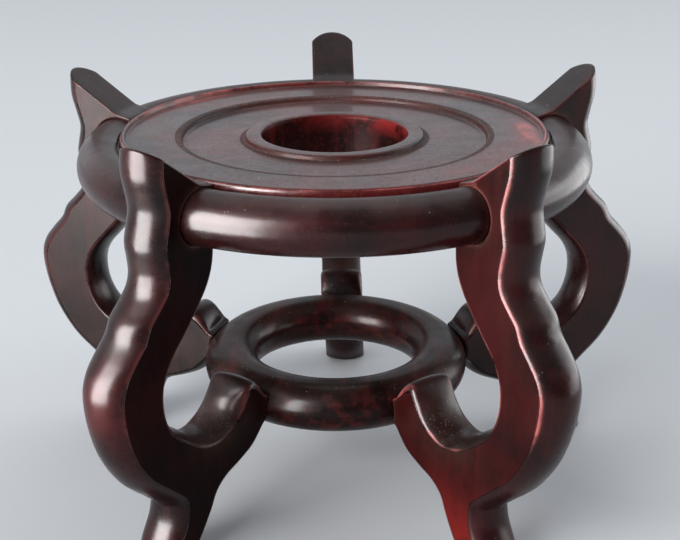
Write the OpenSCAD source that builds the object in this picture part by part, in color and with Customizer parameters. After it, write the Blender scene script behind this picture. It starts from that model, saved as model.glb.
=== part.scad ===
// Five-legged hardwood stand with a turned top, scroll legs and a stretcher ring.
// Millimetres, +Z up, origin on the floor under the middle of the top.
// Each leg clasps the rounded rim of the top and its lower scroll meets the ring.
// Dowels hold the legs to the rim and to the ring.

/* [Top] */
// diameter over the rounded rim
top_d = 254; // [230:1:290]
// height of the rounded rim, which is also its rounding
rim_h = 25; // [23:0.5:28]
// floor to the middle of the rim
rim_level = 170; // [160:0.5:198]
// width of the rim outside the raised lip
rim_band = 21; // [19:0.5:23]
// width of the raised lip
lip_w = 2.8; // [2:0.1:5]
// rise of the lip above the rim's middle
lip_rise = 13.8; // [12.5:0.1:15]
// width of the groove between lip and rim
groove_w = 1.4; // [0.8:0.1:2]
// rise of the outer field above the rim's middle
field_rise = 11.3; // [10:0.1:12]
// rise of the sunk inner field above the rim's middle
sunk_rise = 8.6; // [6:0.1:9.5]
// diameter of the sunk inner field
sunk_d = 152; // [120:1:180]
// outer diameter of the bead round the hole
bead_d = 88; // [80:0.5:100]
// rise of the bead above the rim's middle
bead_rise = 11.2; // [10:0.1:12]
// diameter of the hole through the top
hole_d = 72; // [50:0.5:76]

/* [Legs] */
// thickness of the board that a leg is sawn from
leg_t = 24; // [18:0.5:28]
// crown across the outer edge of a leg
crown = 6.5; // [3:0.5:8]
// crown across the inner edge of a leg
inner_crown = 4; // [2:0.5:5]
// crown across the nose of the scroll
nose_crown = 1.5; // [0.5:0.5:3]
// crown across the inside of a foot
foot_crown = 6.5; // [3:0.5:8]
// sideways lean of every leg, degrees
lean = 2; // [0:0.5:3]
// thickness of the spur's foot over the top of the rim
spur_foot = 2.5; // [2:0.5:4]
// thickness of the spur's toe beside the lip
spur_toe = 3.4; // [2:0.1:4.4]
// pitch of the spur's inner face, degrees
spur_pitch = 36; // [30:1:42]
// reach of the spur's tip outside the rim
spur_out = 9.5; // [8.5:0.5:10.5]
// reach of the knee outside the rim
knee_out = 37.5; // [32:0.5:50]
// floor to the knee
knee_level = 100; // [94:1:112]
// reach of a foot's middle outside the rim
foot_out = 4; // [-2:0.5:10]
// reach of the scroll from the rim in to the ring
scroll_in = 58; // [52:0.5:64]

/* [Ring] */
// width of the ring's bar, seen from above
ring_w = 28; // [24:0.5:32]
// height of the ring's bar
ring_h = 24.5; // [20:0.5:28]
// floor to the middle of the ring
ring_level = 57.5; // [52:0.5:64]

/* [Dowels] */
// diameter of the dowels
dowel_d = 6; // [5:0.5:8]
// length of a dowel between rim and leg
rim_dowel = 22; // [18:0.5:24]
// length of a dowel between ring and leg
ring_dowel = 24; // [18:0.5:28]
// depth of a dowel in the rim
rim_bore = 13; // [10:0.5:14]
// depth of a dowel in the ring
ring_bore = 10; // [8:0.5:14]
// clearance left for glue at each face of a joint
glue = 0.1; // [0.05:0.05:0.2]

/* [Hidden] */
$fn = 96;
top_r = top_d / 2;
nose_r = rim_h / 2;
nose_at = top_r - nose_r;
lip_r = top_r - rim_band;
groove_floor = sqrt(pow(nose_r, 2) - pow(nose_at - lip_r, 2)) - groove_w;
ring_r = top_r - scroll_in;
ring_round = ring_h / 2;
ring_drop = ring_level - rim_level;
knee_drop = knee_level - rim_level;
leg_half = leg_t / 2;
leg_in = lip_r + glue;
grip = acos((leg_in - nose_at) / (nose_r + glue));
spur_r = top_r + spur_out;
spur_base = nose_r + spur_foot;
spur_up = spur_base + (spur_r - nose_at) * tan(spur_pitch);
edge = 0.8;
curve_steps = 3;
seat_steps = 10;
layers = 6;
least_spread = 0.3;
levelling = 20;
ring_clasp = [-22, 35];
leg_turns = [90, 162, 234, 306, 18];
wood = [0.30, 0.13, 0.10];

// Points of a leg's outline, tied to the rim, knee, foot or ring.
// Each holds out and up, and how far the crown swells that point out and up.
function at_rim(out, up, c = 0, way = 0) = [top_r + out, up, c * cos(way), c * sin(way)];
function at_knee(out, up, c = 0, way = 0) = at_rim(knee_out + out, knee_drop + up, c, way);
function at_foot(out, up, c = 0, way = 0) = at_rim(foot_out + out, up - rim_level, c, way);
function at_ring(out, up, c = 0) = at_rim(out - scroll_in, ring_drop + up, c);

// One point of a smooth curve through the points p, a share t past point i
function on_curve(p, i, t) =
    let (a = p[max(i - 1, 0)], b = p[i], c = p[i + 1], d = p[min(i + 2, len(p) - 1)])
    b + t * ((c - a) + t * ((2 * a - 5 * b + 4 * c - d) + t * (3 * b - a - 3 * c + d))) / 2;

function curve(p) = concat(
    [for (i = [0:len(p) - 2]) for (k = [0:curve_steps - 1]) on_curve(p, i, k / curve_steps)],
    [p[len(p) - 1]]);

// Hollow that seats against a round of radius r, from angle a to angle b
function seat(out, up, r, a, b) =
    let (step = (b - a) / seat_steps, far = (r + glue) / cos(step / 2))
    concat(
        [[out + (r + glue) * cos(a), up + (r + glue) * sin(a), 0, 0]],
        [for (k = [0.5:seat_steps - 0.5])
            [out + far * cos(a + k * step), up + far * sin(a + k * step), 0, 0]],
        [[out + (r + glue) * cos(b), up + (r + glue) * sin(b), 0, 0]]);

// Spur, waists, knee and ankle down the outside of a leg
outer_edge = curve([
    [spur_r, spur_up, crown, crown * tan(spur_pitch)],
    [spur_r + 0.5, spur_up - 5, crown, 0],
    at_rim(9.7, 21, crown),
    at_rim(8, 14, crown),
    at_rim(6.5, 6, crown),
    at_rim(8.2, -2.5, crown),
    at_rim(9.3, -8.5, crown),
    at_rim(8.2, -16, crown),
    at_rim(7.6, -22.5, crown),
    at_rim(9.4, -29, crown),
    at_rim(14.6, -35, crown),
    at_rim(20, -40.5, crown),
    at_rim(23.2, -47, crown),
    at_knee(-7, 15, crown),
    at_knee(-2.2, 8.5, crown),
    at_knee(0, 0, crown),
    at_knee(-1.5, -14, crown, -5),
    at_knee(-6.5, -29.5, crown, -20),
    at_knee(-15, -43, crown, -40),
    at_knee(-26.5, -54, crown, -45),
    at_foot(-3, 36.5, crown, -35),
    at_foot(-5, 31, crown, -10),
    at_foot(-3.5, 22, crown),
    at_foot(1.5, 12, crown),
    at_foot(5, 3, crown),
    at_foot(6, 0, crown)
]);

// Turns the crown of each point of a run square to the run, and level next to the floor
function squared_up(run) = [for (i = [0:len(run) - 1])
    let (
        step = run[min(i + 1, len(run) - 1)] - run[max(i - 1, 0)],
        share = min(1, (run[i][1] + rim_level) / levelling),
        way = [-step[1], share * step[0]]
    )
    concat([run[i][0], run[i][1]], run[i][2] * way / norm(way))];

// Inside of the foot and underside of the scroll
underside = squared_up(curve([
    at_foot(-5, 0, foot_crown),
    at_foot(-8.5, 5, foot_crown),
    at_foot(-15, 13.5, foot_crown),
    at_foot(-21, 22.5, inner_crown),
    at_foot(-25, 30, inner_crown),
    at_foot(-32, 35.5, inner_crown),
    at_foot(-42, 39, inner_crown),
    at_ring(11, -14.5, inner_crown),
    at_ring(5.5, -9.5, inner_crown),
    at_ring(2, -6)
]));

ring_seat = seat(ring_r - ring_round, ring_drop, ring_round, ring_clasp[0], ring_clasp[1]);

// Nose of the scroll and the open loop above it
loop = squared_up(curve([
    at_ring(0.5, 8.5),
    at_ring(3, 12, nose_crown),
    at_ring(6.5, 16.5, nose_crown),
    at_ring(10.5, 18.5, nose_crown),
    at_ring(14, 17, nose_crown),
    at_ring(16.8, 11, inner_crown),
    at_ring(21, 5.2, inner_crown),
    at_ring(27, 0.8, inner_crown),
    at_ring(35.5, -1.8, inner_crown),
    at_ring(46, 0.3, inner_crown),
    at_knee(-39.5, -35.5, inner_crown),
    at_knee(-30.5, -28, inner_crown),
    at_knee(-25.5, -18.5, inner_crown),
    at_knee(-24, -8, inner_crown),
    at_knee(-25.5, 1.5, inner_crown),
    at_knee(-30.5, 10.5, inner_crown),
    at_rim(-1.5, -50.5, inner_crown),
    at_rim(-10, -41, inner_crown),
    at_rim(-16.5, -32, inner_crown),
    at_rim(-20, -23, nose_crown),
    [leg_in, -nose_r - glue, 0, 0]
]));

// Grip round the rim, up to the toe and heel of the spur
rim_seat = concat(
    seat(nose_at, 0, nose_r, -90, grip),
    [[leg_in, (nose_r + glue) * sin(grip) + spur_toe, 0, 0], [nose_at, spur_base, 0, 0]]);

outline = concat(outer_edge, underside, ring_seat, loop, rim_seat);

// Share of the crown that is left at a share s of the half thickness
function crown_share(s) =
    let (r = (leg_half * leg_half + crown * crown) / (2 * crown))
    (sqrt(r * r - pow(s * leg_half, 2)) - (r - crown)) / crown;

function leg_point(p, s) =
    let (c = crown_share(s), up = p[1] + c * p[3])
    [p[0] + c * p[2], s * leg_half + up * tan(lean), up];

// Triangles that fill the outline, found by cutting off one convex corner after another
flat = [for (p = outline) [p[0], p[1]]];

// Twice the area of a triangle of the outline, which is above zero where it turns inward
function spread(a, b, c) = cross(flat[c] - flat[a], flat[b] - flat[a]);

function is_free(a, b, c, others) = len([for (p = others)
    if (p != c && min(spread(a, b, p), spread(b, c, p), spread(c, a, p)) >= 0) p]) == 0;

function cut_corners(q, done = []) =
    let (a = q[0], b = q[1], c = q[2])
    let (rest = [for (k = [2:len(q) - 1]) q[k]])
    len(q) == 3 ? concat(done, [q])
    : spread(a, b, c) > least_spread && is_free(a, b, c, rest) ?
        cut_corners(concat(rest, [a]), concat(done, [[a, b, c]]))
    : cut_corners(concat([b], rest, [a]), done);

// One leg from its two flat sides, the crowned edges and the square seats
module leg_blank() {
    n = len(outline);
    far = layers * n;
    sole_out = len(outer_edge) - 1;
    ring_in = sole_out + len(underside);
    ring_out = ring_in + len(ring_seat);
    rim_in = ring_out + len(loop);
    points = [for (j = [0:layers]) for (p = outline) leg_point(p, 2 * j / layers - 1)];
    near_side = cut_corners([for (i = [0:n - 1]) i]);
    far_side = [for (t = near_side) [far + t[2], far + t[1], far + t[0]]];
    runs = [[0, sole_out - 1], [sole_out + 1, ring_in - 1], [ring_out + 1, rim_in - 1]];
    crowned = [for (r = runs) for (j = [0:layers - 1]) for (i = [r[0]:r[1]])
        [j * n + i, (j + 1) * n + i, (j + 1) * n + i + 1, j * n + i + 1]];
    seats = [[ring_in + 1, ring_out - 1], [rim_in + 1, n - 2]];
    squared = [for (r = seats) for (i = [r[0]:r[1]]) [i, far + i, far + i + 1, i + 1]];
    narrowing = [for (i = [ring_in, rim_in])
        concat([i + 1], [for (j = [0:layers]) j * n + i], [far + i + 1])];
    widening = [for (i = [ring_out, n - 1])
        concat([i, far + i], [for (j = [0:layers]) (layers - j) * n + (i + 1) % n])];
    sole = concat([for (j = [0:layers]) j * n + sole_out],
        [for (j = [0:layers]) (layers - j) * n + sole_out + 1]);
    polyhedron(points, concat(near_side, far_side, crowned, squared, narrowing, widening, [sole]));
}

module ring_section() translate([ring_r - ring_w, 0]) {
    translate([ring_round, 0]) circle(ring_round);
    translate([ring_w - ring_round, 0]) circle(ring_round);
    translate([ring_round, -ring_round]) square([ring_w - ring_h, ring_h]);
}

// Dowel from the rim into a leg, and from the ring into a leg
module pin(length, extra) {
    translate([-extra, 0, 0]) rotate([0, 90, 0])
        cylinder(d = dowel_d + 2 * extra, h = length + 2 * extra);
}

module rim_pin(extra) {
    translate([top_r - rim_bore, 0, rim_level]) pin(rim_dowel, extra);
}

module ring_pin(extra) {
    translate([ring_r - ring_bore, ring_drop * tan(lean), ring_level]) pin(ring_dowel, extra);
}

module round_the_legs() {
    for (turn = leg_turns) rotate(turn) children();
}

module leg(turn) {
    rotate(turn) difference() {
        translate([0, 0, rim_level]) leg_blank();
        rim_pin(glue);
        ring_pin(glue);
    }
}

// Step of the turned top, with its upper corners rounded
module ridge(inner, outer, rise, round) {
    translate([inner, -nose_r]) square([outer - inner, nose_r + rise - round]);
    translate([inner + round, 0]) square([outer - inner - 2 * round, rise]);
    translate([inner + round, rise - round]) circle(round);
    translate([outer - round, rise - round]) circle(round);
}

module top_section() {
    difference() {
        union() {
            ridge(hole_d / 2, bead_d / 2, bead_rise, 2 * edge);
            translate([hole_d / 2, -nose_r]) square([lip_r - hole_d / 2, nose_r + sunk_rise]);
            translate([hole_d / 2, -nose_r]) square([nose_at - hole_d / 2, nose_r]);
            ridge(sunk_d / 2, lip_r, field_rise, edge);
            ridge(lip_r - lip_w, lip_r, lip_rise, edge);
            translate([nose_at, 0]) circle(nose_r);
        }
        translate([lip_r, groove_floor]) square([groove_w, rim_h]);
        translate([0, -rim_h]) square([hole_d / 2, 2 * rim_h]);
    }
}

module top_board() color(wood) difference() {
    translate([0, 0, rim_level]) rotate_extrude() top_section();
    round_the_legs() rim_pin(glue);
}

module stretcher_ring() color(wood) difference() {
    translate([0, 0, ring_level]) rotate_extrude() ring_section();
    round_the_legs() ring_pin(glue);
}

module leg_back() color(wood) leg(leg_turns[0]);
module leg_left_back() color(wood) leg(leg_turns[1]);
module leg_left_front() color(wood) leg(leg_turns[2]);
module leg_right_front() color(wood) leg(leg_turns[3]);
module leg_right_back() color(wood) leg(leg_turns[4]);
module rim_dowels() color(wood) round_the_legs() rim_pin(0);
module ring_dowels() color(wood) round_the_legs() ring_pin(0);

top_board();
leg_back();
leg_left_back();
leg_left_front();
leg_right_front();
leg_right_back();
stretcher_ring();
rim_dowels();
ring_dowels();
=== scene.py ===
"""Looks of a five-legged Chinese hardwood stand: worn red-brown lacquer on turned and sawn wood."""

import math

import bpy
import numpy as np
from mathutils import Matrix, Vector
from mathutils.geometry import delaunay_2d_cdt


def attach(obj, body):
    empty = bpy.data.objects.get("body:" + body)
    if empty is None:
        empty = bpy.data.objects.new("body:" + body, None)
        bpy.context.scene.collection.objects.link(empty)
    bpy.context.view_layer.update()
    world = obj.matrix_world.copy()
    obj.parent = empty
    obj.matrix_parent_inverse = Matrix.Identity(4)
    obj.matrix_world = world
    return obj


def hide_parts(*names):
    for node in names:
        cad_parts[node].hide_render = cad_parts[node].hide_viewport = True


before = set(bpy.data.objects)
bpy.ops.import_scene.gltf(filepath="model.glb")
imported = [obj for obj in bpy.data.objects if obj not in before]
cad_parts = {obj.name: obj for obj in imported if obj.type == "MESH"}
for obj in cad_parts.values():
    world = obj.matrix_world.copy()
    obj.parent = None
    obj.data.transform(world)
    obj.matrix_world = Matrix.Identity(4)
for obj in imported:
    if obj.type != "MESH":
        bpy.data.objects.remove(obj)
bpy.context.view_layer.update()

# Sizes of the top in millimetres, as in the part, with rises and drops from the rim's middle
MM = 0.001
TOP_R = 127.0
NOSE_R = 12.5
NOSE_AT = TOP_R - NOSE_R
RIM_LEVEL = 170.0
RIM_BAND = 21.0
LIP_R = TOP_R - RIM_BAND
LIP_W = 2.8
LIP_RISE = 13.8
GROOVE_W = 1.4
GROOVE_R = LIP_R + GROOVE_W
GROOVE_FLOOR = math.sqrt(NOSE_R**2 - (NOSE_AT - LIP_R) ** 2) - GROOVE_W
FIELD_RISE = 11.3
SUNK_RISE = 8.6
SUNK_R = 76.0
BEAD_R = 44.0
BEAD_RISE = 11.2
HOLE_R = 36.0

# Where the worn slopes of the turned steps start and end
BEAD_FOOT_R = BEAD_R + 0.6
SUNK_FOOT_R = SUNK_R - 0.8
LIP_FOOT_R = LIP_R - LIP_W - 0.4
LIP_SHOULDER_R = LIP_R - LIP_W + 0.4

# Sizes of the ring
SCROLL_IN = 58.0
RING_R = TOP_R - SCROLL_IN
RING_W = 28.0
RING_ROUND = 12.25
RING_LEVEL = 57.5
RING_DROP = RING_LEVEL - RIM_LEVEL
RING_CLASP = (-22, 35)

# Sizes of the legs
GLUE = 0.1
LEG_HALF = 12.0
LEG_IN = LIP_R + GLUE
LEAN = math.tan(math.radians(2))
GRIP_R = NOSE_R + GLUE
GRIP = math.degrees(math.acos((LEG_IN - NOSE_AT) / GRIP_R))
CROWN = 6.5
INNER_CROWN = 4.0
NOSE_CROWN = 1.5
FOOT_CROWN = 6.5
LEVELLING = 20.0
SPUR_FOOT = 2.5
SPUR_TOE = 3.4
SPUR_PITCH = math.tan(math.radians(36))
SPUR_OUT = 9.5
SPUR_R = TOP_R + SPUR_OUT
SPUR_BASE = NOSE_R + SPUR_FOOT
SPUR_UP = SPUR_BASE + (SPUR_R - NOSE_AT) * SPUR_PITCH
SPUR_TIP = (SPUR_R, SPUR_UP, CROWN, CROWN * SPUR_PITCH)
KNEE_OUT = 37.5
KNEE_LEVEL = 100.0
KNEE_DROP = KNEE_LEVEL - RIM_LEVEL
FOOT_OUT = 4.0
LEG_TURNS = {
    "leg_back": 90,
    "leg_left_back": 162,
    "leg_left_front": 234,
    "leg_right_front": 306,
    "leg_right_back": 18,
}

# Softness of corners and arrises, with wider arrises near the nose of the scroll
SOFTNESS = 0.8
ARRIS = 0.8
NOSE_ARRIS = 3.0
SCROLL_NOSE = np.array((RING_R + 8, RING_DROP + 16))
SCROLL_NOSE_REACH = 11.0

# Fineness of turned pieces: steps round them, along arcs and round corners, and sharp angles
SEGMENTS = 256
TURNS = np.arange(SEGMENTS) * 2 * math.pi / SEGMENTS
ARC_STEPS = 40
RIM_STEPS = 48
LONGEST_STEP = 2.0
CORNER_STEPS = 7
LEAST_CUT, MOST_CUT_SHARE = 0.02, 0.49
SHARP_DEGREES = 50

# Fineness of the legs: steps along the outline, rows across its edge, and points on its sides
CURVE_STEPS = 10
LEAST_STEP, SPACING = 1e-6, 1.0
ARRIS_ROWS = 6
CROWN_ROWS = 13
GRID_STEP, GRID_GAP = 3.0, 1.2
INSET, INSET_GAP = 1.6, 1.4
# The sides are filled inside the outline alone, and points this close become one
FILL_INSIDE, FILL_MERGE = 1, 1e-5

# Wear, grime and painted red glow of the legs in millimetres: a reach, or a place, the reach from there
# and the least share
EDGE_WEAR = 1.2
SIDE_WEAR = 1.0
RIM_GRIME = 1.1
RING_GRIME = 1.4
RIM_LINE = (0.4, 0.7071)
HOLLOW_OUT = (RING_R + 32, 17)
HOLLOW_UP = (60, 9)
FOOT_GLOW_BAND = (12, 22)
KNEE_GLOW_BAND = (97, 17)
OUTSIDE = (112, 12)
OUTER_RUB = (62, 26, 0.12)
INNER_RUB = (50, 8, 0.2)
JOINT_DIRT, HOLLOW_DIRT = 0.9, 0.5

# Worn lines of the top: share, radius, rise and reach
WORN_LINES = (
    (1.0, LIP_R - 0.6, LIP_RISE - 0.6, 0.5),
    (1.0, LIP_R - LIP_W, LIP_RISE, 0.9),
    (0.7, LIP_R, GROOVE_FLOOR + 2.2, 0.3),
    (0.75, SUNK_R, FIELD_RISE, 0.9),
)
# Grimy corners of the top: radius, rise and reach
GRIMY_CORNERS = (
    (SUNK_R, SUNK_RISE, 1.3),
    (SUNK_R + 1.0, FIELD_RISE, 1.2),
    (BEAD_FOOT_R, SUNK_RISE, 1.6),
    (LIP_R + 0.5 * GROOVE_W, GROOVE_FLOOR, 0.9),
    (LIP_FOOT_R, FIELD_RISE, 0.5),
)
# Patches of the top that are bare, or thin in the lacquer: share, radius and reach, angle and reach
BARE_PATCHES = (
    (0.85, 101, 3.0, 140, 24),
    (1.40, 96, 4.5, 1, 12),
    (0.80, 101, 3.0, -16, 8),
    (0.50, 90, 6.0, -50, 14),
)
THIN_PATCHES = (
    (0.75, 101, 3.0, 140, 26),
    (0.80, 94, 6.0, -4, 16),
    (0.35, 88, 9.0, -45, 22),
    (0.40, LIP_R, 3.5, 90, 60),
    (0.22, LIP_R - 1, 2.5, -85, 40),
)
# Thin lacquer all round the lip: share, radii and least rise
LIP_THIN = 0.15
LIP_THIN_IN, LIP_THIN_OUT = LIP_R - 1, LIP_R + 0.3
LIP_THIN_RISE = GROOVE_FLOOR + 1.5
# Thin lacquer all round the wall of the hole, and painted light on the side the light falls on: shares,
# then places and reaches
WALL_ROUND, WALL_SIDE = 0.2, 0.8
WALL_ANGLE, WALL_ANGLE_REACH = 40, 50
WALL_RADIUS = (HOLE_R + 0.4, 1.2)
WALL_RISE = (1, 8)
# Finishes of the top: least radius of the rim, most of the hole, and middle and reach of dull lines
RIM_FROM = LIP_R + 0.5 * GROOVE_W
HOLE_TO = HOLE_R + 0.3
DULL_LINES = ((SUNK_R + 0.5, 1.6), (BEAD_R + 0.9, 1.0))


# Points of a leg's outline, tied to the rim, knee, foot or ring.
# Each holds out and up, and how far the crown swells that point out and up.
def at_rim(out, up, crown=0.0, way=0.0):
    turn = math.radians(way)
    return (TOP_R + out, up, crown * math.cos(turn), crown * math.sin(turn))


def at_knee(out, up, crown=0.0, way=0.0):
    return at_rim(KNEE_OUT + out, KNEE_DROP + up, crown, way)


def at_foot(out, up, crown=0.0, way=0.0):
    return at_rim(FOOT_OUT + out, up - RIM_LEVEL, crown, way)


def at_ring(out, up, crown=0.0):
    return at_rim(out - SCROLL_IN, RING_DROP + up, crown)


def smooth_run(points):
    """Points of a smooth curve through the given ones."""
    p = np.array(points, float)
    last = len(p) - 1
    run = []
    for i in range(last):
        a, b, c, d = p[max(i - 1, 0)], p[i], p[i + 1], p[min(i + 2, last)]
        bend = 2 * a - 5 * b + 4 * c - d
        twist = 3 * b - a - 3 * c + d
        for t in np.arange(CURVE_STEPS) / CURVE_STEPS:
            run.append(b + t * ((c - a) + t * (bend + t * twist)) / 2)
    run.append(p[last])
    return np.array(run)


def seat_run(out, up, r, first, last):
    """Arc that seats against a round of radius r."""
    turn = np.radians(np.linspace(first, last, ARC_STEPS))
    far = r + GLUE
    square = np.zeros_like(turn)
    return np.column_stack([out + far * np.cos(turn), up + far * np.sin(turn), square, square])


def squared_up(run):
    """The run with each crown turned square to it, and level next to the floor."""
    step = np.vstack([run[1:], run[-1:]]) - np.vstack([run[:1], run[:-1]])
    share = np.minimum(1, (run[:, 1] + RIM_LEVEL) / LEVELLING)
    way = np.column_stack([-step[:, 1], share * step[:, 0]])
    way /= np.linalg.norm(way, axis=1, keepdims=True)
    return np.column_stack([run[:, :2], run[:, 2:3] * way])


def outer_edge():
    """Spur, waists, knee and ankle down the outside of a leg."""
    c = CROWN
    points = [
        SPUR_TIP,
        (SPUR_R + 0.5, SPUR_UP - 5, c, 0.0),
        at_rim(9.7, 21, c),
        at_rim(8, 14, c),
        at_rim(6.5, 6, c),
        at_rim(8.2, -2.5, c),
        at_rim(9.3, -8.5, c),
        at_rim(8.2, -16, c),
        at_rim(7.6, -22.5, c),
        at_rim(9.4, -29, c),
        at_rim(14.6, -35, c),
        at_rim(20, -40.5, c),
        at_rim(23.2, -47, c),
        at_knee(-7, 15, c),
        at_knee(-2.2, 8.5, c),
        at_knee(0, 0, c),
        at_knee(-1.5, -14, c, -5),
        at_knee(-6.5, -29.5, c, -20),
        at_knee(-15, -43, c, -40),
        at_knee(-26.5, -54, c, -45),
        at_foot(-3, 36.5, c, -35),
        at_foot(-5, 31, c, -10),
        at_foot(-3.5, 22, c),
        at_foot(1.5, 12, c),
        at_foot(5, 3, c),
        at_foot(6, 0, c),
    ]
    return smooth_run(points)


def underside():
    """Inside of the foot and underside of the scroll."""
    points = [
        at_foot(-5, 0, FOOT_CROWN),
        at_foot(-8.5, 5, FOOT_CROWN),
        at_foot(-15, 13.5, FOOT_CROWN),
        at_foot(-21, 22.5, INNER_CROWN),
        at_foot(-25, 30, INNER_CROWN),
        at_foot(-32, 35.5, INNER_CROWN),
        at_foot(-42, 39, INNER_CROWN),
        at_ring(11, -14.5, INNER_CROWN),
        at_ring(5.5, -9.5, INNER_CROWN),
        at_ring(2, -6),
    ]
    return squared_up(smooth_run(points))


def open_loop():
    """Nose of the scroll and the open loop above it."""
    points = [
        at_ring(0.5, 8.5),
        at_ring(3, 12, NOSE_CROWN),
        at_ring(6.5, 16.5, NOSE_CROWN),
        at_ring(10.5, 18.5, NOSE_CROWN),
        at_ring(14, 17, NOSE_CROWN),
        at_ring(16.8, 11, INNER_CROWN),
        at_ring(21, 5.2, INNER_CROWN),
        at_ring(27, 0.8, INNER_CROWN),
        at_ring(35.5, -1.8, INNER_CROWN),
        at_ring(46, 0.3, INNER_CROWN),
        at_knee(-39.5, -35.5, INNER_CROWN),
        at_knee(-30.5, -28, INNER_CROWN),
        at_knee(-25.5, -18.5, INNER_CROWN),
        at_knee(-24, -8, INNER_CROWN),
        at_knee(-25.5, 1.5, INNER_CROWN),
        at_knee(-30.5, 10.5, INNER_CROWN),
        at_rim(-1.5, -50.5, INNER_CROWN),
        at_rim(-10, -41, INNER_CROWN),
        at_rim(-16.5, -32, INNER_CROWN),
        at_rim(-20, -23, NOSE_CROWN),
        (LEG_IN, -GRIP_R, 0.0, 0.0),
    ]
    return squared_up(smooth_run(points))


def leg_outline():
    """The closed outline, from the tip of the spur down the outside and back up the inside."""
    ring_seat = seat_run(RING_R - RING_ROUND, RING_DROP, RING_ROUND, *RING_CLASP)
    rim_seat = seat_run(NOSE_AT, 0.0, NOSE_R, -90, GRIP)
    toe = GRIP_R * math.sin(math.radians(GRIP)) + SPUR_TOE
    slope = [(LEG_IN, toe, 0.0, 0.0), (NOSE_AT, SPUR_BASE, 0.0, 0.0), SPUR_TIP]
    return np.vstack([outer_edge(), underside(), ring_seat, open_loop(), rim_seat, slope])


def even(points):
    """The closed outline again, in even steps and with its corners softened."""
    p = np.vstack([points, points[:1]])
    step = np.hypot(*np.diff(p[:, :2], axis=0).T)
    p = p[np.concatenate([[True], step > LEAST_STEP])]
    along = np.concatenate([[0], np.cumsum(np.hypot(*np.diff(p[:, :2], axis=0).T))])
    at = np.linspace(0, along[-1], int(along[-1] / SPACING), endpoint=False)
    q = np.column_stack([np.interp(at, along, column) for column in p.T])
    reach = int(4 * SOFTNESS / SPACING) + 1
    lags = np.arange(-reach, reach + 1)
    weight = np.exp(-0.5 * (lags * SPACING / SOFTNESS) ** 2)
    weight /= weight.sum()
    return sum(w * np.roll(q, -k, axis=0) for w, k in zip(weight, lags))


def inside(points, loop):
    """Whether each point lies in the closed loop."""
    x, y = points.T
    hit = np.zeros(len(points), bool)
    for (ax, ay), (bx, by) in zip(loop, np.roll(loop, -1, axis=0)):
        if ay == by:
            continue
        over = (ay > y) != (by > y)
        hit ^= over & (x < (bx - ax) * (y - ay) / (by - ay) + ax)
    return hit


def least_gap(points, loop):
    """Distance of each point to the nearest point of the loop."""
    return np.array([np.hypot(*(loop - p).T).min() for p in points])


# Shapes of wear
def bell(value, middle, reach):
    """One at the middle, falling off smoothly on both sides."""
    return np.exp(-(((value - middle) / reach) ** 2))


def rising(value, start, reach, least=0.0):
    """From the least at the start to one at the reach past it."""
    return np.clip((value - start) / reach, least, 1)


# Meshes
def new_mesh(name, points, faces):
    mesh = bpy.data.meshes.new(name)
    mesh.from_pydata((points * MM).tolist(), [], faces)
    mesh.update()
    return mesh


def add_values(mesh, values):
    for name, numbers in values.items():
        attr = mesh.attributes.new(name, "FLOAT", "POINT")
        attr.data.foreach_set("value", np.ascontiguousarray(numbers, np.float32))


def quads(rows, n, closed=False):
    """Faces between rows of n points in a loop, and from the last row to the first if closed."""
    faces = []
    for j in range(rows if closed else rows - 1):
        k = (j + 1) % rows
        for i in range(n):
            m = (i + 1) % n
            faces.append((j * n + i, k * n + i, k * n + m, j * n + m))
    return faces


def crown_share(across):
    """Share of the crown that is left at a share of the half thickness."""
    r = (LEG_HALF**2 + CROWN**2) / (2 * CROWN)
    return ((np.sqrt(r * r - (across * LEG_HALF) ** 2) - (r - CROWN)) / CROWN)[:, None]


def outward(base):
    """Normals of the outline, in its plane."""
    run = np.roll(base, -1, axis=0) - np.roll(base, 1, axis=0)
    run /= np.linalg.norm(run, axis=1, keepdims=True)
    return np.column_stack([-run[:, 1], run[:, 0]])


def edge_rows(swell, normal, arris):
    """Rows across the edge of a leg: shift from the outline, share of the half thickness, wear."""
    inner = 1 - arris / LEG_HALF
    start, end = -normal * arris[:, None], swell * crown_share(inner)
    bend = []
    for t in np.linspace(0, 1, ARRIS_ROWS):
        shift = (1 - t) ** 2 * start + t * t * end
        bend.append((shift, 1 - t * t * arris / LEG_HALF, 1 - abs(t - 0.5)))
    crowned = []
    for share in np.linspace(-1, 1, CROWN_ROWS + 2)[1:-1]:
        across = share * inner
        worn = math.exp(-(1 - abs(share)) * LEG_HALF / EDGE_WEAR)
        crowned.append((swell * crown_share(across), across, worn))
    near_bend = [(shift, -across, worn) for shift, across, worn in bend]
    return near_bend + crowned + bend[::-1]


def side_fill(rim, inset):
    """Flat side of a leg: points added inside its rim, their wear, and triangles over them all."""
    n = len(rim)
    axes = [np.arange(low, high, GRID_STEP) for low, high in zip(rim.min(axis=0), rim.max(axis=0))]
    grid = np.stack(np.meshgrid(*axes), axis=-1).reshape(-1, 2)
    grid = grid[inside(grid, rim)]
    gap = least_gap(grid, rim)
    free = gap > GRID_GAP
    clear = inside(inset, rim) & (least_gap(inset, rim) > INSET_GAP)
    fill_gap = np.concatenate([gap[free], np.full(clear.sum(), INSET)])
    found, _, tris, sources, _, _ = delaunay_2d_cdt(
        [Vector(p) for p in np.vstack([rim, grid[free], inset[clear]])],
        [(i, (i + 1) % n) for i in range(n)],
        [],
        FILL_INSIDE,
        FILL_MERGE,
    )
    ids, added, wear = [], [], []
    for at, given in zip(found, sources):
        on_rim = [i for i in given if i < n]
        if on_rim:
            ids.append(on_rim[0])
            continue
        ids.append(n + len(added))
        added.append(tuple(at))
        wear.append(math.exp(-fill_gap[given[0] - n] / SIDE_WEAR) if given else 0.0)
    return np.array(added), np.array(wear), [[ids[v] for v in tri] for tri in tris]


def leaned(flat, across):
    """Points of a leg from their place in the outline's plane and across the half thickness."""
    return np.column_stack([flat[:, 0], across * LEG_HALF + flat[:, 1] * LEAN, flat[:, 1]])


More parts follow.
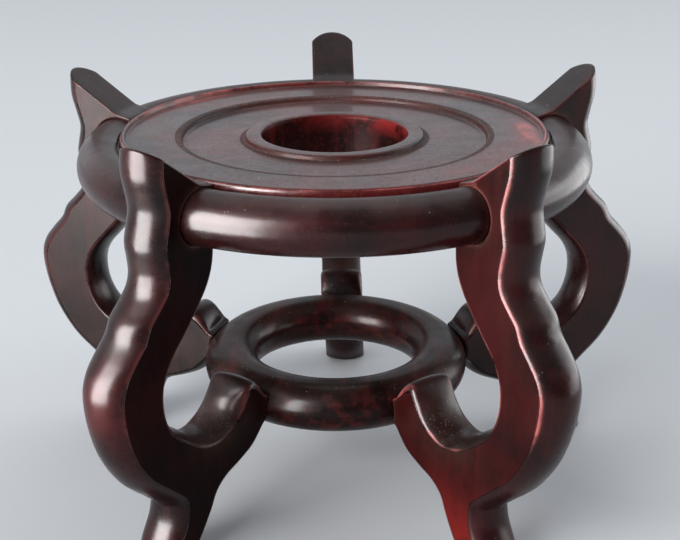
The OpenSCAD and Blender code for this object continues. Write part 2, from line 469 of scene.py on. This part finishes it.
def leg_values(points, wear, foot_glow, knee_glow):
    """Wear, grime and a painted red glow of light at the foot and knee, at the points of a leg."""
    out, up = points[:, 0], points[:, 2]
    height = up + RIM_LEVEL
    rim_gap = np.clip(np.hypot(out - NOSE_AT, up) - NOSE_R, 0, None)
    ring_gap = np.hypot(out - RING_R + RING_ROUND, up - RING_DROP) - RING_ROUND
    joint = np.exp(-rim_gap / RIM_GRIME) + np.exp(-np.clip(ring_gap, 0, None) / RING_GRIME)
    hollow = bell(out, *HOLLOW_OUT) * bell(height, *HOLLOW_UP)
    outside = rising(out, *OUTSIDE)
    rubbed = outside * rising(height, *OUTER_RUB) + (1 - outside) * rising(height, *INNER_RUB)
    # painted light: a red glow where the light falls on the foot and the knee
    thin_and_painted_glow = foot_glow * bell(height, *FOOT_GLOW_BAND) + knee_glow * bell(height, *KNEE_GLOW_BAND)
    return {
        "edge": np.maximum(wear * rubbed, bell(rim_gap, *RIM_LINE)),
        "dirt": np.clip(JOINT_DIRT * joint + HOLLOW_DIRT * hollow, 0, 1),
        "thin_and_painted_glow": np.clip(thin_and_painted_glow, 0, 1),
    }


def leg_mesh(name, turn, foot_glow, knee_glow):
    """A leg with soft arrises: strips round the outline and two flat sides."""
    line = even(leg_outline())
    base, swell = line[:, :2], line[:, 2:]
    normal = outward(base)
    nose_gap = np.hypot(*(base - SCROLL_NOSE).T)
    arris = ARRIS + (NOSE_ARRIS - ARRIS) * bell(nose_gap, 0, SCROLL_NOSE_REACH)
    rows = edge_rows(swell, normal, arris)
    rim, inset = (base - normal * depth[:, None] for depth in (arris, arris + INSET))
    fill, fill_wear, tris = side_fill(rim, inset)

    points = [leaned(base + shift, across) for shift, across, _ in rows]
    points += [leaned(fill, across) for across in (-1, 1)]
    points = np.vstack(points)
    n, added = len(base), len(fill)
    fill_at = len(rows) * n
    faces = quads(len(rows), n)
    finishes = [0] * len(faces) + [1] * (2 * len(tris))
    near = [*range(n), *range(fill_at, fill_at + added)]
    far = [*range(fill_at - n, fill_at), *range(fill_at + added, len(points))]
    faces += [[near[v] for v in tri] for tri in tris]
    faces += [[far[v] for v in reversed(tri)] for tri in tris]

    c, s = math.cos(math.radians(turn)), math.sin(math.radians(turn))
    turned = np.array(((c, s, 0), (-s, c, 0), (0, 0, 1)))
    mesh = new_mesh(name, (points + (0, 0, RIM_LEVEL)) @ turned, faces)
    wear = np.concatenate([np.full(n, worn) for _, _, worn in rows] + [fill_wear, fill_wear])
    add_values(mesh, leg_values(points, wear, foot_glow, knee_glow))
    mesh.polygons.foreach_set("material_index", finishes)
    mesh.shade_smooth()
    shaped = np.zeros((len(points), 3))
    mesh.vertex_normals.foreach_get("vector", shaped.ravel())
    flat_normal = np.array((0, 1, -LEAN)) @ turned / math.hypot(1, LEAN)
    shaped[near], shaped[far] = -flat_normal, flat_normal
    mesh.normals_split_custom_set_from_vertices(shaped.tolist())
    return mesh


def lathe(name, profile, level, values, finishes):
    """Mesh of a turned piece; values holds named numbers per turn and profile point."""
    n = len(profile)
    r, z = profile[:, 0], profile[:, 1] + level
    points = np.stack(
        [np.outer(np.cos(TURNS), r), np.outer(np.sin(TURNS), r), np.tile(z, (SEGMENTS, 1))],
        axis=-1,
    )
    mesh = new_mesh(name, points.reshape(-1, 3), quads(SEGMENTS, n, closed=True))
    shape = (SEGMENTS, n)
    add_values(mesh, {key: np.broadcast_to(v, shape).ravel() for key, v in values.items()})
    mesh.polygons.foreach_set("material_index", np.tile(finishes, SEGMENTS))
    mesh.shade_smooth()
    mesh.set_sharp_from_angle(angle=math.radians(SHARP_DEGREES))
    return mesh


def rounded(corners):
    """Closed profile with each corner (radius, rise, softness) turned into a soft round."""
    out = []
    n = len(corners)
    for i, softness in enumerate(corners[:, 2]):
        before, at, after = (corners[(i + k) % n, :2] for k in (-1, 0, 1))
        u, v = before - at, after - at
        lu, lv = np.linalg.norm(u), np.linalg.norm(v)
        cut = min(softness, MOST_CUT_SHARE * lu, MOST_CUT_SHARE * lv)
        if cut < LEAST_CUT:
            out.append(at)
            continue
        p, q = at + u / lu * cut, at + v / lv * cut
        for t in np.linspace(0, 1, CORNER_STEPS):
            out.append((1 - t) ** 2 * p + 2 * t * (1 - t) * at + t * t * q)
    return np.array(out)


def close_steps(profile):
    """The closed profile with long straight lines split into short ones."""
    out = []
    for p, q in zip(profile, np.roll(profile, -1, axis=0)):
        count = max(1, math.ceil(np.linalg.norm(q - p) / LONGEST_STEP))
        out += [p + (q - p) * k / count for k in range(count)]
    return np.array(out)


def top_profile():
    """Section of the turned top from the hole outward and back underneath."""
    corners = [
        (HOLE_R, -NOSE_R, 0.6),
        (HOLE_R, BEAD_RISE, 2.6),
        (BEAD_R, BEAD_RISE, 3.2),
        (BEAD_FOOT_R, SUNK_RISE, 0.8),
        (SUNK_FOOT_R, SUNK_RISE, 1.2),
        (SUNK_R, FIELD_RISE, 1.2),
        (LIP_FOOT_R, FIELD_RISE, 0.6),
        (LIP_SHOULDER_R, LIP_RISE, 1.0),
        (LIP_R - 1.3, LIP_RISE, 0.5),
        (LIP_R - 0.3, LIP_RISE - 1.1, 0.7),
        (LIP_R, LIP_RISE - 2.8, 0.8),
        (LIP_R, GROOVE_FLOOR, 0.3),
        (GROOVE_R, GROOVE_FLOOR, 0.3),
    ]
    turn = np.linspace(math.acos((GROOVE_R - NOSE_AT) / NOSE_R), -math.pi / 2, RIM_STEPS)
    nose = np.column_stack(
        [NOSE_AT + NOSE_R * np.cos(turn), NOSE_R * np.sin(turn), np.zeros(RIM_STEPS)]
    )
    return close_steps(rounded(np.vstack([corners, nose])))


def ring_profile():
    """Section of the ring's bar: two half rounds joined by flats."""
    turn = np.radians(np.linspace(90, 270, ARC_STEPS))
    half = RING_ROUND * np.column_stack([np.cos(turn), np.sin(turn)])
    inner = half + (RING_R - RING_W + RING_ROUND, 0)
    outer = (RING_R - RING_ROUND, 0) - half
    return np.vstack([inner, outer])[::-1]


# Materials
def noise(tree, place, shift, stretch, scale, detail, rough):
    moved = tree.nodes.new("ShaderNodeMapping")
    moved.inputs["Scale"].default_value = stretch
    moved.inputs["Location"].default_value = shift
    tree.links.new(place, moved.inputs["Vector"])
    made = tree.nodes.new("ShaderNodeTexNoise")
    made.inputs["Scale"].default_value = scale
    made.inputs["Detail"].default_value = detail
    made.inputs["Roughness"].default_value = rough
    tree.links.new(moved.outputs["Vector"], made.inputs["Vector"])
    return made.outputs["Fac"]


def remap(tree, value, low, high, to_low=0.0, to_high=1.0):
    made = tree.nodes.new("ShaderNodeMapRange")
    made.interpolation_type = "SMOOTHSTEP"
    ends = {"From Min": low, "From Max": high, "To Min": to_low, "To Max": to_high}
    for key, number in ends.items():
        made.inputs[key].default_value = number
    tree.links.new(value, made.inputs["Value"])
    return made.outputs["Result"]


def math_node(tree, op, a, b):
    made = tree.nodes.new("ShaderNodeMath")
    made.operation = op
    tree.links.new(a, made.inputs[0])
    if isinstance(b, (int, float)):
        made.inputs[1].default_value = b
    else:
        tree.links.new(b, made.inputs[1])
    return made.outputs[0]


def times(tree, a, b):
    return math_node(tree, "MULTIPLY", a, b)


def plus(tree, a, b):
    return math_node(tree, "ADD", a, b)


def most(tree, a, b):
    return math_node(tree, "MAXIMUM", a, b)


def mix(tree, share, a, b):
    made = tree.nodes.new("ShaderNodeMix")
    made.data_type = "RGBA"
    for key, value in (("Factor", share), ("A", a), ("B", b)):
        socket = next(s for s in made.inputs if s.name == key and s.enabled)
        if isinstance(value, tuple):
            socket.default_value = (*value, 1.0)
        else:
            tree.links.new(value, socket)
    return next(s for s in made.outputs if s.enabled)


def value_of(tree, name):
    made = tree.nodes.new("ShaderNodeAttribute")
    made.attribute_name = name
    return made.outputs["Fac"]


def facing_up(tree):
    """How far the surface faces up, from minus one to one."""
    parts = tree.nodes.new("ShaderNodeSeparateXYZ")
    facing = tree.nodes.new("ShaderNodeNewGeometry")
    tree.links.new(facing.outputs["Normal"], parts.inputs["Vector"])
    return parts.outputs["Z"]


# Noises of the lacquer: scale, detail, roughness and whether it follows the grain
NOISES = {
    "clouds": (24.0, 4.0, 0.55, False),
    "streaks": (170.0, 5.0, 0.55, True),
    "pores": (1100.0, 3.0, 0.70, True),
    "patches": (70.0, 5.0, 0.65, False),
    "smoke": (45.0, 6.0, 0.60, False),
    "mottle": (420.0, 5.0, 0.70, False),
}
# Levels between which each share sets in, and its least and most where they aren't 0 and 1
LEVELS = {
    "red": (0.34, 0.68),
    "spots": (0.50, 0.68),
    "streaks": (0.46, 0.72),
    "pores": (0.55, 0.70),
    "glow": (0.36, 0.58),
    "worn": (0.34, 0.60),
    "worn_edge": (0.35, 0.95),
    "grime": (0.36, 0.60, 0.25, 0.85),
    "film": (0.30, 0.70),
    "film_up": (0.35, 0.90),
    "specks_up": (0.25, 0.85, 0.04, 0.70),
    "speck_tone": (0.0, 1.0, 0.1, 1.0),
    "grit_up": (0.20, 0.70, 0.10, 0.90),
    "gloss": (0.30, 0.70),
    "satin_up": (0.80, 0.99),
}
SPOT_SHARE, STREAK_SHARE = 0.5, 0.5
# Dust: scale of the scatter and size of its specks, and for grit the share of cells that have one
SPECKS = ((360.0, 0.08), (700.0, 0.12))
GRIT = (1300.0, 0.18, 0.3)
SPECK_FADE, PICK_FADE = 2.2, 0.02
PORE_COLOUR = (0.005, 0.002, 0.002)
WORN_COLOUR = (0.47, 0.112, 0.102)
SPECK_COLOUR = (0.42, 0.38, 0.35)
# How much rougher each share makes the lacquer, and how far it stands out
GLOSS_SPREAD = 0.10
ROUGHER = {"film": 0.35, "grime": 0.3, "worn": 0.12, "dots": 0.3, "thin_and_painted_glow": 0.06, "spots": 0.25}
STREAK_RELIEF, PATCH_RELIEF, DOT_RELIEF = 0.4, 0.7, 0.8
BUMP_STRENGTH = 0.22
BUMP_HEIGHT = 0.0006


def speckle(tree, place, shift, scale, size, share):
    """Small separate specks: a dot in some of the cells of a scatter."""
    moved = tree.nodes.new("ShaderNodeMapping")
    moved.inputs["Location"].default_value = shift
    tree.links.new(place, moved.inputs["Vector"])
    cells = tree.nodes.new("ShaderNodeTexVoronoi")
    cells.inputs["Scale"].default_value = scale
    tree.links.new(moved.outputs["Vector"], cells.inputs["Vector"])
    pick = tree.nodes.new("ShaderNodeSeparateColor")
    tree.links.new(cells.outputs["Color"], pick.inputs["Color"])
    dot = remap(tree, cells.outputs["Distance"], size, SPECK_FADE * size, 1.0, 0.0)
    dot = times(tree, dot, remap(tree, pick.outputs["Green"], *LEVELS["speck_tone"]))
    picked = remap(tree, pick.outputs["Red"], 1 - share, 1 + PICK_FADE - share)
    return times(tree, dot, picked)


def lacquer_shares(tree, place, shift, fields, look):
    """Where the lacquer is spotted, streaked, thin, painted with a red glow of light, worn, grimy,
    filmed with dust, specked or satin.
    """

    def level(key, field, *ends):
        return remap(tree, field, *LEVELS[key], *ends)

    edge, dirt, thin_and_painted_glow = (value_of(tree, key) for key in ("edge", "dirt", "thin_and_painted_glow"))
    up = facing_up(tree)
    patches, smoke = fields["patches"], fields["smoke"]
    glow_ends = (look["blotch"] * look["glow"], look["glow"])
    worn = times(tree, level("worn_edge", edge), level("worn", patches))
    film = times(tree, level("film_up", up), level("film", smoke))
    specks = [speckle(tree, place, shift, *kind, look["specks"]) for kind in SPECKS]
    dots = times(tree, most(tree, *specks), level("specks_up", up))
    grit = times(tree, speckle(tree, place, shift, *GRIT), level("grit_up", up))
    return {
        "spots": times(tree, level("spots", fields["mottle"]), SPOT_SHARE * look["mottle"]),
        "streaks": times(tree, level("streaks", fields["streaks"]), STREAK_SHARE),
        "pores": times(tree, level("pores", fields["pores"]), look["pore"]),
        "thin_and_painted_glow": thin_and_painted_glow,
        "glow": times(tree, thin_and_painted_glow, level("glow", patches, *glow_ends)),
        "worn": times(tree, worn, look["wear"]),
        "grime": times(tree, dirt, level("grime", smoke)),
        "film": times(tree, film, look["film"]),
        "dots": most(tree, dots, times(tree, grit, dirt)),
        "satin": level("satin_up", up, 0.0, look["satin"]),
    }


def lacquer(name, grain, shift, look):
    """Worn red-brown lacquer over wood whose grain runs along the stretched axis."""
    made = bpy.data.materials.new(name)
    made.use_nodes = True
    tree = made.node_tree
    shader = tree.nodes["Principled BSDF"]
    place = tree.nodes.new("ShaderNodeTexCoord").outputs["Object"]
    fields = {}
    for key, (scale, detail, rough, along) in NOISES.items():
        stretch = grain if along else (1, 1, 1)
        fields[key] = noise(tree, place, shift, stretch, scale, detail, rough)
    shares = lacquer_shares(tree, place, shift, fields, look)

    colour = mix(tree, remap(tree, fields["clouds"], *LEVELS["red"]), look["dark"], look["red"])
    layers = {
        "spots": look["streak"],
        "streaks": look["streak"],
        "pores": PORE_COLOUR,
        # the red of thin lacquer, and a red glow of light painted where the light falls
        "glow": look["thin_and_painted_glow"],
        "worn": WORN_COLOUR,
        "grime": look["dirt"],
        "film": look["dust"],
        "dots": SPECK_COLOUR,
    }
    for key, over in layers.items():
        colour = mix(tree, shares[key], colour, over)
    tree.links.new(colour, shader.inputs["Base Color"])

    gloss_ends = (look["gloss"], look["gloss"] + GLOSS_SPREAD)
    gloss = remap(tree, fields["patches"], *LEVELS["gloss"], *gloss_ends)
    for key, more in ROUGHER.items():
        gloss = plus(tree, gloss, times(tree, shares[key], more))
    gloss = plus(tree, gloss, shares["satin"])
    tree.links.new(gloss, shader.inputs["Roughness"])
    shader.inputs["Specular IOR Level"].default_value = look["specular"]
    shader.inputs["Coat Weight"].default_value = look["coat"]
    shader.inputs["Coat Roughness"].default_value = look["coat_rough"]

    relief = times(tree, fields["pores"], look["pore"])
    relief = plus(tree, relief, times(tree, fields["streaks"], STREAK_RELIEF))
    relief = plus(tree, relief, times(tree, fields["patches"], PATCH_RELIEF))
    relief = plus(tree, relief, times(tree, fields["mottle"], look["mottle"]))
    relief = plus(tree, relief, times(tree, shares["dots"], DOT_RELIEF))
    bump = tree.nodes.new("ShaderNodeBump")
    bump.inputs["Strength"].default_value = BUMP_STRENGTH
    bump.inputs["Distance"].default_value = BUMP_HEIGHT
    tree.links.new(relief, bump.inputs["Height"])
    tree.links.new(bump.outputs["Normal"], shader.inputs["Normal"])
    return made


# Looks of the turned top and its rim, hole and steps, of the ring, and of the legs
TOP_LOOK = {
    "dark": (0.014, 0.0036, 0.0036),
    "red": (0.075, 0.0085, 0.0080),
    "streak": (0.105, 0.012, 0.011),
    "thin_and_painted_glow": (0.23, 0.016, 0.016),
    "dirt": (0.085, 0.050, 0.036),
    "dust": (0.105, 0.080, 0.072),
    "pore": 0.25,
    "mottle": 1.2,
    "specks": 0.18,
    "wear": 1.0,
    "glow": 1.0,
    "blotch": 0.35,
    "film": 0.26,
    "gloss": 0.20,
    "satin": 0.12,
    "specular": 0.30,
    "coat": 0.25,
    "coat_rough": 0.12,
}
RIM_LOOK = TOP_LOOK | {
    "mottle": 0.4,
    "specks": 0.05,
    "dark": (0.010, 0.0030, 0.0030),
    "red": (0.034, 0.0052, 0.0048),
    "streak": (0.050, 0.0075, 0.0068),
    "gloss": 0.22,
    "specular": 0.17,
    "coat": 0.15,
    "coat_rough": 0.18,
}
HOLE_LOOK = TOP_LOOK | {
    "dark": (0.006, 0.0020, 0.0020),
    "red": (0.022, 0.0030, 0.0028),
    "blotch": 0.0,
    "gloss": 0.30,
    "specular": 0.05,
    "coat": 0.0,
}
STEP_LOOK = TOP_LOOK | {
    "dirt": (0.045, 0.028, 0.021),
    "gloss": 0.34,
    "specular": 0.14,
    "coat": 0.06,
}
RING_LOOK = TOP_LOOK | {
    "mottle": 0.5,
    "specks": 0.06,
    "dark": (0.008, 0.0028, 0.0025),
    "red": (0.024, 0.0060, 0.0050),
    "dust": (0.040, 0.027, 0.020),
    "film": 0.5,
    "satin": 0.0,
    "gloss": 0.24,
    "specular": 0.10,
    "coat": 0.10,
    "coat_rough": 0.16,
}
EDGE_LOOK = TOP_LOOK | {
    "mottle": 0.4,
    "specks": 0.05,
    "dark": (0.005, 0.0017, 0.0018),
    "red": (0.028, 0.0036, 0.0035),
    "streak": (0.042, 0.0055, 0.0050),
    "thin_and_painted_glow": (0.12, 0.008, 0.008),
    "dust": (0.026, 0.019, 0.016),
    "film": 0.5,
    "satin": 0.0,
    "gloss": 0.23,
    "specular": 0.15,
    "coat": 0.15,
    "coat_rough": 0.23,
}
SIDE_LOOK = EDGE_LOOK | {
    "dark": (0.013, 0.0020, 0.0020),
    "red": (0.040, 0.0036, 0.0034),
    "streak": (0.050, 0.0055, 0.0050),
    "thin_and_painted_glow": (0.17, 0.0105, 0.0085),
    "pore": 0.6,
    "film": 0.3,
    "gloss": 0.36,
    "specular": 0.035,
    "coat": 0.0,
}
# Painted light: a red glow of each leg where light falls, at the foot and at the knee
LEG_GLOW = {
    "leg_back": (0.1, 0.0),
    "leg_left_back": (0.1, 0.0),
    "leg_left_front": (0.1, 0.4),
    "leg_right_front": (1.0, 0.0),
    "leg_right_back": (0.1, 0.0),
}
# How each leg differs, first its rounded edges and then its flat sides
LEG_LOOKS = {
    "leg_back": ({"wear": 0.2}, {"wear": 0.2}),
    "leg_left_back": (
        {"wear": 0.15},
        {
            "dark": (0.008, 0.0040, 0.0036),
            "red": (0.022, 0.0080, 0.0072),
            "streak": (0.034, 0.0075, 0.0066),
            "wear": 0.15,
            "specular": 0.14,
        },
    ),
    "leg_left_front": (
        {"wear": 0.22},
        {
            # painted shade: the left front leg's flat sides are darker, as they lie in shadow
            "dark": (0.005, 0.0015, 0.0016),
            "red": (0.014, 0.0024, 0.0024),
            "streak": (0.020, 0.0030, 0.0028),
            "wear": 0.35,
            "glow": 0.2,
        },
    ),
    "leg_right_front": ({"glow": 0.3}, {}),
    "leg_right_back": (
        {"wear": 0.2},
        {
            "dark": (0.012, 0.0050, 0.0048),
            "red": (0.034, 0.0100, 0.0095),
            "wear": 0.2,
            "specular": 0.20,
        },
    ),
}
# Stretch of the grain along each axis, and along the legs
GRAIN_X, GRAIN_Y, GRAIN_Z = (0.12, 1, 1), (1, 0.12, 1), (1, 1, 0.12)
LEG_GRAIN = (1, 1, 0.1)


# Pieces
def place_piece(name, mesh, materials, replaced):
    piece = bpy.data.objects.new(name, mesh)
    bpy.context.scene.collection.objects.link(piece)
    for material in materials:
        mesh.materials.append(material)
    bpy.context.view_layer.update()
    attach(piece, "root")
    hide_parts(replaced)


def fade(profile, r, z, reach):
    """How near each profile point is to the corner at r and z."""
    return np.exp(-np.hypot(profile[:, 0] - r, profile[:, 1] - z) / reach)


def turned_from(angle):
    """Degrees of each turn from the angle, the shorter way round."""
    return (np.degrees(TURNS)[:, None] - angle + 180) % 360 - 180


def smears(profile, patches):
    """Patches on the upper face, over turns and profile points."""
    radius, rise = profile.T
    total = sum(
        share * bell(radius, r, r_reach) * bell(turned_from(angle), 0, angle_reach)
        for share, r, r_reach, angle, angle_reach in patches
    )
    return total * (rise > SUNK_RISE - 1)


def top_values(profile):
    """Wear, grime, thin lacquer and a painted red glow on the lit side of the hole, over turns and
    profile points.
    """
    radius, rise = profile.T
    lines = np.max([share * fade(profile, *line) for share, *line in WORN_LINES], axis=0)
    grime = sum(fade(profile, *corner) for corner in GRIMY_CORNERS)
    wall = (1 - rising(radius, *WALL_RADIUS)) * rising(rise, *WALL_RISE)
    # painted light: the red is strongest on the side of the hole's wall that the light falls on
    lit_side = bell(turned_from(WALL_ANGLE), 0, WALL_ANGLE_REACH)
    wall = wall * (WALL_ROUND + WALL_SIDE * lit_side)
    on_lip = (radius > LIP_THIN_IN) & (radius < LIP_THIN_OUT) & (rise > LIP_THIN_RISE)
    return {
        "edge": np.clip(lines + smears(profile, BARE_PATCHES), 0, 1),
        "dirt": np.clip(grime, 0, 1),
        "thin_and_painted_glow": np.clip(wall + smears(profile, THIN_PATCHES) + LIP_THIN * on_lip, 0, 1),
    }


def top_finishes(profile):
    """Number of the finish at each profile point: field, rim, hole or dull lines of the steps."""
    radius, rise = profile.T
    dull = np.any([abs(radius - middle) < reach for middle, reach in DULL_LINES], axis=0)
    return 1 * (radius > RIM_FROM) + 2 * (radius < HOLE_TO) + 3 * (dull & (rise > 0))


def add_top():
    profile = top_profile()
    mesh = lathe("turned_top", profile, RIM_LEVEL, top_values(profile), top_finishes(profile))
    materials = [
        lacquer("field_lacquer", GRAIN_X, (0, 0, 0), TOP_LOOK),
        lacquer("rim_lacquer", GRAIN_X, (0, 0, 0), RIM_LOOK),
        lacquer("hole_lacquer", GRAIN_Z, (0, 0, 0), HOLE_LOOK),
        lacquer("step_lacquer", GRAIN_X, (0, 0, 0), STEP_LOOK),
    ]
    place_piece("turned_top", mesh, materials, "top_board")


def add_ring():
    profile = ring_profile()
    values = {"edge": 0.0, "dirt": 0.0, "thin_and_painted_glow": 0.0}
    finishes = np.zeros(len(profile), int)
    mesh = lathe("stretcher", profile, RIM_LEVEL + RING_DROP, values, finishes)
    materials = [lacquer("ring_lacquer", GRAIN_Y, (3, 1, 2), RING_LOOK)]
    place_piece("stretcher", mesh, materials, "stretcher_ring")


def add_legs():
    for number, (leg, turn) in enumerate(LEG_TURNS.items()):
        shift = (5 + 2 * number, number, 1)
        edge_look, side_look = LEG_LOOKS[leg]
        materials = [
            lacquer("edge_" + leg, LEG_GRAIN, shift, EDGE_LOOK | edge_look),
            lacquer("side_" + leg, LEG_GRAIN, shift, SIDE_LOOK | side_look),
        ]
        mesh = leg_mesh(leg, turn, *LEG_GLOW[leg])
        place_piece(leg.replace("leg", "scroll_leg"), mesh, materials, leg)


# Stage in metres: a plain pale floor, a sky that is brighter behind the stand, and soft lamps
FLOOR_HALF = 6.0
FLOOR_COLOUR = (0.70, 0.72, 0.74, 1)
FLOOR_ROUGHNESS = 0.85
FRONT_SKY, BACK_SKY = (0.17, 0.17, 0.18), (0.86, 0.91, 0.97)
SKY_LEVELS = (-0.6, 0.8)
# Place, aim, width, height and power of each lamp
SOFT_LAMPS = {
    "window": ((-4.5, -4.05, 2.50), (0, 0, 0.12), 4.5, 4.05, 455),
    "right_fill": ((2.8, 0.60, 1.20), (0, 0, 0.12), 1.2, 2.0, 20),
    "overhead": ((0, 0.5, 1.7), (0, 0, 0.1), 1.6, 1.2, 3),
}
# The same for lamps that only glossy surfaces mirror
SHINE_LAMPS = {
    "low_window": ((-0.32, -0.31, 0.21), (-0.08, -0.12, 0.21), 0.30, 0.42, 13),
    "right_wall": ((0.70, 0.10, 0.17), (0.09, -0.12, 0.17), 0.95, 0.34, 3.3),
}


def add_floor():
    h = FLOOR_HALF
    mesh = bpy.data.meshes.new("floor")
    mesh.from_pydata([(-h, -h, 0), (h, -h, 0), (h, h, 0), (-h, h, 0)], [], [(0, 1, 2, 3)])
    floor = bpy.data.objects.new("floor", mesh)
    bpy.context.scene.collection.objects.link(floor)
    pale = bpy.data.materials.new("pale_floor")
    pale.use_nodes = True
    ground = pale.node_tree.nodes["Principled BSDF"]
    ground.inputs["Base Color"].default_value = FLOOR_COLOUR
    ground.inputs["Roughness"].default_value = FLOOR_ROUGHNESS
    ground.inputs["Specular IOR Level"].default_value = 0.0
    mesh.materials.append(pale)


def add_sky():
    world = bpy.data.worlds.new("studio")
    bpy.context.scene.world = world
    world.use_nodes = True
    tree = world.node_tree
    sky = tree.nodes["Background"]
    sky.inputs["Strength"].default_value = 1.0
    parts = tree.nodes.new("ShaderNodeSeparateXYZ")
    direction = tree.nodes.new("ShaderNodeTexCoord").outputs["Generated"]
    tree.links.new(direction, parts.inputs["Vector"])
    behind = remap(tree, parts.outputs["Y"], *SKY_LEVELS)
    tree.links.new(mix(tree, behind, FRONT_SKY, BACK_SKY), sky.inputs["Color"])


def add_lamp(name, at, aim, width, height, power):
    data = bpy.data.lights.new(name, "AREA")
    data.shape = "RECTANGLE"
    data.size, data.size_y = width, height
    data.energy = power
    lamp = bpy.data.objects.new(name, data)
    bpy.context.scene.collection.objects.link(lamp)
    lamp.location = at
    way = Vector(aim) - Vector(at)
    lamp.rotation_euler = way.to_track_quat("-Z", "Y").to_euler()
    return lamp


# Camera at the photographed angle: place in metres, angles in radians, focal length in pixels
EYE = (-0.00024, -0.60869, 0.34057)
PITCH, YAW, ROLL = 0.3659, 0.0043, -0.0047
FOCAL_PX = 1255.33
PICTURE_W = 680
SENSOR_W = 36.0
NEAREST = 0.01


def add_camera():
    data = bpy.data.cameras.new("camera")
    data.sensor_width = SENSOR_W
    data.lens = SENSOR_W * FOCAL_PX / PICTURE_W
    data.clip_start = NEAREST
    camera = bpy.data.objects.new("camera", data)
    bpy.context.scene.collection.objects.link(camera)
    forward = Vector(
        (math.sin(YAW) * math.cos(PITCH), math.cos(YAW) * math.cos(PITCH), -math.sin(PITCH))
    )
    level = forward.cross(Vector((0, 0, 1))).normalized()
    upright = level.cross(forward)
    right = math.cos(ROLL) * level + math.sin(ROLL) * upright
    up = math.cos(ROLL) * upright - math.sin(ROLL) * level
    columns = Matrix((right, up, -forward)).transposed()
    camera.matrix_world = Matrix.Translation(EYE) @ columns.to_4x4()
    bpy.context.scene.camera = camera


add_top()
add_ring()
add_legs()
add_floor()
add_sky()
for name, settings in SOFT_LAMPS.items():
    add_lamp(name, *settings)
for name, settings in SHINE_LAMPS.items():
    shine = add_lamp(name, *settings)
    shine.visible_diffuse = False
    shine.visible_camera = False
add_camera()
bpy.context.scene.view_settings.view_transform = "Standard"
